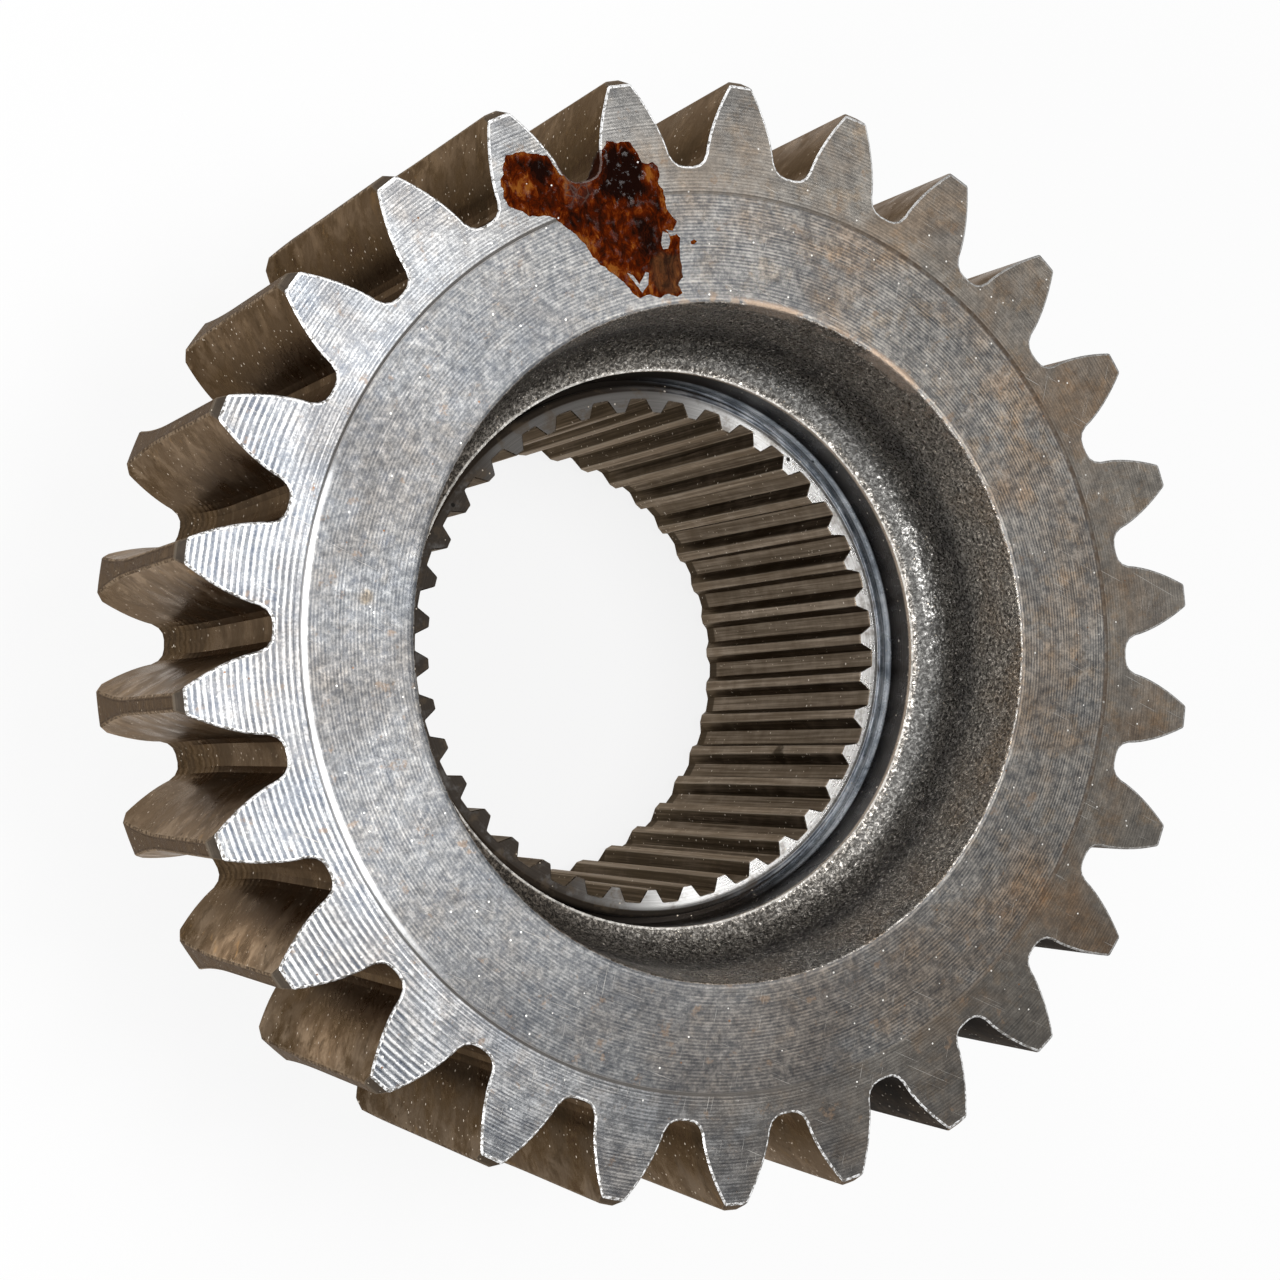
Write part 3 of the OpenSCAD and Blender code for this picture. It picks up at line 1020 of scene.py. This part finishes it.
def rim_skin(front_ring, front_across):
    """Front face, teeth, rear face and rear hub, from the seam round to the rear end of the spline."""
    rim = Lathe()
    front_angles = np.arctan2(front_ring[:, 0], front_ring[:, 1])
    rim.add(circle(SEAM_RADIUS), INNER_FACE, "face")
    rim.add(circle(58.0), INNER_FACE, "face")
    rim.add(circle(STEP_FOOT), INNER_FACE, "face")
    rim.add(circle(STEP_TOP), FACE, "face")
    rim.add(circle(ROOT_RADIUS - 1.2, front_angles), FACE, "face")
    rim.add(moved_in(front_ring, EDGE_RUB), FACE, "edge", front_across)
    rim.add(moved_in(front_ring, EDGE_BEVEL), FACE, "edge", front_across)
    for level in TOOTH_LEVELS:
        places, across = tooth_ring(level)
        rim.add(places, level, tooth_band, across)
    places, across = tooth_ring(RIM_BACK + REAR_EDGE)
    rim.add(places, RIM_BACK + REAR_EDGE, "edge", across)
    places, across = tooth_ring(RIM_BACK)
    rear_angles = np.arctan2(places[:, 0], places[:, 1])
    rim.add(moved_in(places, EDGE_BAND), RIM_BACK, "rear", across)
    rim.add(circle(71.4, rear_angles), RIM_BACK, "rear")
    rim.add(circle(62.0), RIM_BACK, "rear")
    for cosine, sine in quarter_turn(6):
        radius = HUB_BACK_RADIUS + HUB_BACK_FILLET * (1 - cosine)
        rim.add(circle(radius), RIM_BACK - HUB_BACK_FILLET * (1 - sine), "rear")
    for level in (26.0, 18.0, 10.0, HUB_BACK_BEVEL):
        rim.add(circle(HUB_BACK_RADIUS), level, "rear")
    rim.add(circle(HUB_BACK_RADIUS - HUB_BACK_BEVEL), 0.0, "rear")
    rim.add(circle(44.0), 0.0, "rear")
    end_ring, end_across = spline_ring(SPLINE_TIP + LEAD_RADIAL)
    rim.add(end_ring, 0.0, "rear", end_across)
    return rim


def recess_wall():
    """Radius and level along the wall of the recess, from its foot up to the front face."""
    wall = []
    for cosine, sine in quarter_turn(24):
        radius = COVE_TOP_RADIUS - (COVE_TOP_RADIUS - COVE_FOOT_RADIUS) * (1 - cosine)
        wall.append((radius, COVE_TOP - (COVE_TOP - COVE_FOOT) * sine))
    steps = 16
    for step in range(1, steps + 1):
        radius = COVE_TOP_RADIUS + (RECESS_RADIUS - COVE_TOP_RADIUS) * step / steps
        wall.append((radius, COVE_TOP + (INNER_FACE - 0.4 - COVE_TOP) * step / steps))
    for outwards, below in ((0.04, 0.2), (0.12, 0.07), (0.26, 0.0)):
        wall.append((RECESS_RADIUS + outwards, INNER_FACE - below))
    return wall


def forged(places, level, previous, following):
    """The ring of the recess wall with the lumps and hollows of the forging."""
    run = Vector((following[0] - previous[0], following[1] - previous[1])).normalized()
    outward = Vector((run.y, -run.x))
    fade = min(1.0, (INNER_FACE - 0.2 - level) / 1.5) * min(1.0, 0.25 + (level - COVE_FOOT) / 2.0)
    fade = max(0.0, fade)
    heights = np.full(COUNT, level)
    result = places.copy()
    for i in range(COUNT):
        spot = Vector((places[i][0], places[i][1], level))
        lump = sum(height * noise.noise(spot * scale) for height, scale in LUMPS) * fade
        radius = math.hypot(*places[i])
        result[i] = places[i] * (1 + lump * outward.x / radius)
        heights[i] = level + lump * outward.y
    return result, heights


def bore_skin():
    """Spline, end of the hub, groove and forged recess, from the rear end of the spline up to the seam."""
    bore = Lathe()
    for level in (0.0, 1.0, 2.0, 3.0, 12.0, 22.0, 32.0, 42.0, 52.0, 59.0, HUB_FRONT - 0.15):
        tip = SPLINE_TIP + LEAD_RADIAL * max(0.0, 1 - level / LEAD_AXIAL)
        places, across = spline_ring(tip)
        bore.add(places, level, "spline", across)
    places, across = spline_ring()
    bore.add(moved_in(places, -0.14), HUB_FRONT, "hub", across)
    spline_angles = np.arctan2(places[:, 0], places[:, 1])
    bore.add(circle(SPLINE_ROOT + 0.4, spline_angles), HUB_FRONT, "hub")
    for cosine, sine in quarter_turn(8):
        radius = HUB_RADIUS - HUB_ROUNDING + HUB_ROUNDING * cosine
        bore.add(circle(radius), HUB_FRONT - HUB_ROUNDING * (1 - sine), "hub")
    bore.add(circle(HUB_RADIUS), GROOVE_FLOOR + 0.5, "hub")
    bore.add(circle(HUB_RADIUS), GROOVE_FLOOR, "hub")
    for level in (GROOVE_FLOOR, 60.0, 62.5, 65.0, COVE_FOOT - 0.8):
        bore.add(circle(COVE_FOOT_RADIUS), level, "hub")
    wall = recess_wall()
    for number, (radius, level) in enumerate(wall):
        ring, heights = circle(radius), level
        if 0 < number < len(wall) - 4:
            ring, heights = forged(ring, level, wall[number - 1], wall[number + 1])
        bore.add(ring, heights, "cove" if number < len(wall) - 1 else "face")
    bore.add(circle(SEAM_RADIUS), INNER_FACE, "face")
    return bore


front_ring, front_across = tooth_ring(FACE)
rim_skin(front_ring, front_across).make("gear_rim", materials, 24)
bore_skin().make("gear_bore", materials, 36)

# The varnish: a brown film over two teeth of the face, in millimetres on the face
STAIN = [
    (-20.0, 75.1), (-17.6, 75.2), (-13.8, 74.3), (-13.1, 72.9), (-12.4, 71.5), (-10.4, 70.5), (-8.9, 70.2),
    (-7.4, 71.0), (-6.2, 72.5), (-4.4, 74.5), (-4.0, 75.2), (-3.0, 74.9), (-2.1, 74.7), (-0.8, 74.8),
    (-0.2, 74.3), (0.3, 73.4), (0.7, 72.5), (0.8, 71.5), (1.8, 71.2), (2.7, 71.3), (3.4, 70.4),
    (3.4, 69.4), (2.9, 68.4), (3.3, 67.2), (3.6, 66.1), (3.4, 64.4), (4.1, 63.1), (4.6, 62.3),
    (3.6, 61.0), (2.6, 61.4), (3.1, 60.4), (4.3, 60.5), (4.6, 59.9), (4.1, 58.1), (3.9, 55.9),
    (3.7, 54.2), (2.7, 53.2), (3.2, 51.9), (2.3, 51.6), (0.9, 52.1), (-0.5, 51.8), (-2.1, 52.4),
    (-3.9, 52.3), (-4.9, 53.1), (-5.9, 55.0), (-7.1, 56.2), (-8.7, 57.6), (-9.9, 59.1), (-10.5, 60.6),
    (-11.6, 62.4), (-12.8, 63.6), (-14.1, 64.9), (-15.4, 65.7), (-16.9, 65.8), (-18.4, 66.1), (-19.7, 67.0),
    (-21.1, 67.7), (-21.9, 69.1), (-21.5, 70.2), (-21.8, 70.8), (-21.6, 71.8), (-21.0, 72.5), (-20.8, 73.9),
]
HOLE = [(2.1, 61.2), (2.9, 60.8), (3.0, 59.7), (2.3, 58.6), (1.5, 58.6), (1.4, 59.6)]
SLIVER = [
    (-5.1, 56.1), (-4.2, 55.7), (-3.5, 54.2), (-2.1, 55.8),
    (-1.6, 55.6), (-2.1, 53.9), (-3.3, 52.9), (-4.3, 54.7),
]
DROP = [(6.2, 59.2), (6.9, 59.4), (7.3, 59.0), (6.8, 58.6), (6.2, 58.8)]

# Spots of the varnish: place in millimetres, reach, and how much darker the tone is
STAIN_TONES = (
    ((-2.8, 70.6, RIM_FRONT), 5.6, 0.30),
    ((-1.8, 68.4, RIM_FRONT), 3.2, 0.16),
    ((-15.3, 72.8, RIM_FRONT), 2.6, 0.22),
    ((-0.5, 60.8, RIM_FRONT), 4.2, 0.15),
    ((-9.0, 64.6, RIM_FRONT), 3.0, 0.08),
    ((-18.8, 70.4, RIM_FRONT), 2.6, -0.20),
    ((1.2, 69.4, RIM_FRONT), 1.9, -0.26),
    ((-5.5, 65.1, RIM_FRONT), 2.4, -0.13),
    ((-9.6, 61.6, RIM_FRONT), 3.0, -0.15),
    ((-2.8, 60.0, RIM_FRONT), 1.6, -0.20),
    ((-7.0, 57.4, RIM_FRONT), 2.8, -0.16),
)


def ragged(outline, size):
    """The outline with its sides broken up by small steps."""
    result = []
    for i, (x, y) in enumerate(outline):
        after = outline[(i + 1) % len(outline)]
        steps = max(1, round(math.hypot(after[0] - x, after[1] - y) / FILM_GRID_SIDE))
        for step in range(steps):
            share = step / steps
            spot = Vector((x + (after[0] - x) * share, y + (after[1] - y) * share, 3.7))
            shift = noise.noise_vector(spot * 1.3) * size
            result.append((spot.x + shift.x, spot.y + shift.y))
    return result


def inside(point, outline):
    x, y = point
    hit = False
    for i, (ax, ay) in enumerate(outline):
        bx, by = outline[i - 1]
        if (ay > y) != (by > y) and x < (bx - ax) * (y - ay) / (by - ay) + ax:
            hit = not hit
    return hit


def gap_to(points, outline):
    """Distance from each point to the nearest side of an outline."""
    best = np.full(len(points), 1e9)
    for i in range(len(outline)):
        a = np.array(outline[i - 1])
        side = np.array(outline[i]) - a
        share = np.clip((points - a) @ side / max(1e-9, side @ side), 0, 1)
        best = np.minimum(best, np.linalg.norm(points - a - share[:, None] * side, axis=1))
    return best


def face_level(x, y):
    """Level of the front face at a place, on either side of its turned step."""
    climb = (math.hypot(x, y) - STEP_FOOT) / (STEP_TOP - STEP_FOOT)
    return INNER_FACE + STEP_DEPTH * min(1.0, max(0.0, climb))


def film_net(outline, loops, gap):
    """Points and faces that fill the outline, clear of its holes and of the tooth gap."""
    low = np.min(outline, axis=0)
    high = np.max(outline, axis=0)
    verts = []
    edges = []
    for loop in loops + [gap]:
        start = len(verts)
        verts += loop
        edges += [(start + i, start + (i + 1) % len(loop)) for i in range(len(loop))]
    for x in np.arange(low[0], high[0], FILM_GRID):
        for y in np.arange(low[1], high[1], FILM_GRID):
            if inside((x, y), loops[0]):
                verts.append((x, y))
    made = delaunay_2d_cdt([Vector(v) for v in verts], edges, [], 0, 1e-5)
    points = np.array([tuple(v) for v in made[0]])
    faces = []
    for face in made[2]:
        middle = points[list(face)].mean(axis=0)
        kept = inside(middle, loops[0]) and not inside(middle, gap)
        if kept and not any(inside(middle, loop) for loop in loops[1:]):
            faces.append(list(face))
    used = sorted({i for face in faces for i in face})
    renumber = {old: new for new, old in enumerate(used)}
    return points[used], [[renumber[i] for i in face] for face in faces]


def film_height(x, y, reach, thickness):
    """How far the film stands off the face at a place: wrinkled, and thinner towards its edge."""
    flow = Vector((x * 0.55 + y * 0.3, y * 0.22 - x * 0.12, 4.0))
    wrinkle = 0.45 + 0.35 * noise.noise(flow) + 0.4 * noise.noise(Vector((x, y, 0.0)) * 1.1)
    return thickness * min(1.0, reach / 0.35) ** 0.5 * (0.35 + 0.65 * min(1.3, max(0.0, wrinkle)))


def outer_sides(faces):
    """The sides that only one face has."""
    sides = {(a, face[(i + 1) % len(face)]): face for face in faces for i, a in enumerate(face)}
    return [(a, b) for a, b in sides if (b, a) not in sides]


def clean(mesh):
    """Removes points that no face uses, and turns every face outwards."""
    work = bmesh.new()
    work.from_mesh(mesh)
    bmesh.ops.delete(work, geom=[v for v in work.verts if not v.link_faces], context="VERTS")
    bmesh.ops.recalc_face_normals(work, faces=work.faces)
    work.to_mesh(mesh)
    work.free()


def film(name, outline, holes, material, thickness):
    """A thin wrinkled film on the front face, within an outline and clear of the tooth gap."""
    tooth_edge = moved_in(front_ring, EDGE_BAND)
    gap = [tuple(p) for p in (*tooth_edge[COUNT - HALF_OUTER:], *tooth_edge[:HALF_OUTER])]
    loops = [ragged(outline, 0.22)] + [ragged(hole, 0.08) for hole in holes]
    points, faces = film_net(outline, loops, gap)
    nearest = np.min([gap_to(points, loop) for loop in loops + [gap]], axis=0)
    base = [face_level(x, y) for x, y in points]
    top = []
    for (x, y), level, reach in zip(points, base, nearest):
        top.append(min(RIM_FRONT - 0.001, level + 0.008 + film_height(x, y, reach, thickness)))
    count = len(points)
    coords = [(x, y, z) for (x, y), z in zip(points, top)]
    coords += [(x, y, z) for (x, y), z in zip(points, base)]
    skirts = [[a, a + count, b + count, b] for a, b in outer_sides(faces)]
    mesh = bpy.data.meshes.new(name)
    mesh.from_pydata((np.array(coords) / 1000).tolist(), [], faces + skirts)
    mesh.materials.append(material)
    thick = mesh.attributes.new("thick", "FLOAT", "POINT")
    thick.data.foreach_set("value", np.concatenate([nearest, np.zeros(count)]))
    mesh.shade_smooth()
    clean(mesh)
    piece = linked(name, mesh)
    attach(piece, "root")
    return piece


def varnish():
    """Old brown varnish: amber where thin, nearly black where thick, glossy and wrinkled in places, with tiny
    painted highlights.
    """
    s = Shader("brown_varnish", Metallic=0.0, Coat_Roughness=0.03)
    thick = s.attribute("thick")
    aslant = s.turned_place(-30, (1.0, 0.55, 1.0))
    flow = s.noise(0.55, 6.0, 0.72, aslant, 1.5)
    tone = s.plus(flow, s.ease(thick, 0.0, 1.6, -0.10, 0.03))
    patches = s.noise(1.0, 3.0, 0.6, aslant, 0.6)
    tone = s.plus(tone, s.times(s.minus(patches, 0.5), 0.5))
    for place, reach, amount in STAIN_TONES:
        tone = s.plus(tone, s.ease(s.distance(place), reach * 0.2, reach, amount, 0.0))
    colour = s.ramp(
        tone,
        (0.27, (0.235, 0.076, 0.012)),
        (0.38, (0.125, 0.022, 0.003)),
        (0.48, (0.062, 0.0075, 0.001)),
        (0.58, (0.032, 0.006, 0.002)),
        (0.70, (0.009, 0.003, 0.002)),
    )
    web = s.cells(0.8, "DISTANCE_TO_EDGE")
    dry = s.times(
        s.near((-10.1, 68.9, RIM_FRONT), 2.8),
        s.ease(web.outputs["Distance"], 0.02, 0.10, 0.85, 0.15),
    )
    colour = s.mix(s.times(dry, 0.8), colour, (0.085, 0.055, 0.046))
    dull = s.times(s.near((1.4, 55.1, RIM_FRONT), 3.6), 0.65)
    colour = s.mix(dull, colour, s.ramp(flow, (0.38, (0.125, 0.056, 0.022)), (0.62, (0.034, 0.016, 0.009))))
    # Painted highlights: tiny white specks
    colour = s.mix(s.specks(0.55, 0.09, 0.40), colour, (0.95, 0.93, 0.90))
    grain = s.noise(1.6, 4.0, 0.6)
    height = s.plus(flow, s.times(grain, 0.35))
    gloss = s.times(s.ease(s.noise(0.8, 3.0, 0.6), 0.56, 0.64), s.ease(dull, 0.0, 0.4, 1.0, 0.1))
    gloss = s.times(gloss, s.blend(s.near((-2.8, 70.6, RIM_FRONT), 5.5), 0.25, 1.0))
    s.put(s.surface.inputs["Coat Weight"], s.blend(gloss, 0.0, 0.9))
    s.put(s.surface.inputs["Specular IOR Level"], s.blend(gloss, 0.0, 0.15))
    normal = s.bump(height, 0.6)
    s.put(s.surface.inputs["Coat Normal"], normal)
    return s.finish(colour, s.ease(flow, 0.3, 0.7, 0.34, 0.16), normal)


stain_material = varnish()
film("varnish_film", STAIN, [HOLE, SLIVER], stain_material, 0.18)
film("varnish_drop", DROP, [], stain_material, 0.2)


def seen_or_reflected(tree):
    """One for rays that the camera sees at once or in a glossy surface."""
    rays = node_in(tree, "ShaderNodeLightPath")
    either = node_in(tree, "ShaderNodeMath", operation="MAXIMUM")
    tree.links.new(rays.outputs["Is Camera Ray"], either.inputs[0])
    tree.links.new(rays.outputs["Is Glossy Ray"], either.inputs[1])
    return either.outputs[0]


def paper_floor():
    """A pale floor just under the gear. It glows to the camera, so that it stays even, but takes a shadow."""
    mesh = bpy.data.meshes.new("floor")
    corners = [(-1, -1), (1, -1), (1, 1), (-1, 1)]
    mesh.from_pydata(
        [(x * FLOOR_REACH, y * FLOOR_REACH, FLOOR_LEVEL) for x, y in corners],
        [],
        [[0, 1, 2, 3]],
    )
    paper = bpy.data.materials.new("pale_floor")
    paper.use_nodes = True
    tree = paper.node_tree
    tree.nodes.clear()
    output = node_in(tree, "ShaderNodeOutputMaterial")
    diffuse = node_in(tree, "ShaderNodeBsdfDiffuse")
    diffuse.inputs["Color"].default_value = (0.82, 0.82, 0.82, 1)
    glow = node_in(tree, "ShaderNodeEmission")
    glow.inputs["Strength"].default_value = 1.0
    share = node_in(tree, "ShaderNodeMath", operation="MULTIPLY")
    share.inputs[1].default_value = 0.86
    tree.links.new(seen_or_reflected(tree), share.inputs[0])
    mixed = node_in(tree, "ShaderNodeMixShader")
    tree.links.new(share.outputs[0], mixed.inputs[0])
    tree.links.new(diffuse.outputs[0], mixed.inputs[1])
    tree.links.new(glow.outputs[0], mixed.inputs[2])
    tree.links.new(mixed.outputs[0], output.inputs["Surface"])
    mesh.materials.append(paper)
    return linked("floor", mesh)


def studio():
    """A plain white world, dimmer as a source of light than as what the steel reflects."""
    world = bpy.data.worlds.new("studio")
    world.use_nodes = True
    tree = world.node_tree
    tree.nodes.clear()
    output = node_in(tree, "ShaderNodeOutputWorld")
    back = node_in(tree, "ShaderNodeBackground")
    back.inputs["Color"].default_value = (1, 1, 1, 1)
    level = node_in(tree, "ShaderNodeMapRange")
    level.inputs["To Min"].default_value = 0.5
    level.inputs["To Max"].default_value = 1.0
    tree.links.new(seen_or_reflected(tree), level.inputs["Value"])
    tree.links.new(level.outputs[0], back.inputs["Strength"])
    tree.links.new(back.outputs[0], output.inputs["Surface"])
    return world


def lamp(name, place, target, size, power):
    data = bpy.data.lights.new(name, "AREA")
    data.shape = "DISK"
    data.size = size
    data.energy = power
    made = linked(name, data)
    made.location = place
    made.rotation_mode = "QUATERNION"
    made.rotation_quaternion = (Vector(target) - Vector(place)).to_track_quat("-Z", "Y")


def camera(place, aim, roll, lens):
    """A camera that looks at a point, with a small lens shift that frames the gear as the photograph does."""
    data = bpy.data.cameras.new("camera")
    made = linked("camera", data)
    backward = (place - aim).normalized()
    level_up = (Vector((0, 1, 0)) - backward * backward.y).normalized()
    level_right = level_up.cross(backward)
    up = level_up * math.cos(roll) - level_right * math.sin(roll)
    right = up.cross(backward)
    made.matrix_world = Matrix.Translation(place) @ Matrix((right, up, backward)).transposed().to_4x4()
    data.sensor_width = 36.0
    data.lens = lens
    data.shift_x = -LENS_SHIFT
    data.shift_y = LENS_SHIFT
    data.clip_start = 0.01
    data.clip_end = 50.0
    return made


# Floor, world, lamps and camera, in metres
FLOOR_REACH = 6.0
FLOOR_LEVEL = -0.0002

# Share of the frame by which the lens is shifted
LENS_SHIFT = 0.05

floor = paper_floor()
bpy.context.scene.world = studio()
lamp("key", (0.12, 0.025, 0.82), (0, 0, 0.08), 0.30, 2.7)
lamp("top", (-0.10, 0.75, 0.55), (0, 0, 0.05), 0.50, 2.2)
lamp("side", (-0.70, -0.12, 0.45), (0, 0, 0.07), 0.30, 2.6)
bpy.context.scene.camera = camera(
    Vector((-0.15587, 0.02033, 0.39296)),
    Vector((-0.00781, -0.00755, 0.090)),
    math.radians(-12.171),
    64.81,
)
bpy.context.scene.view_settings.view_transform = "Standard"
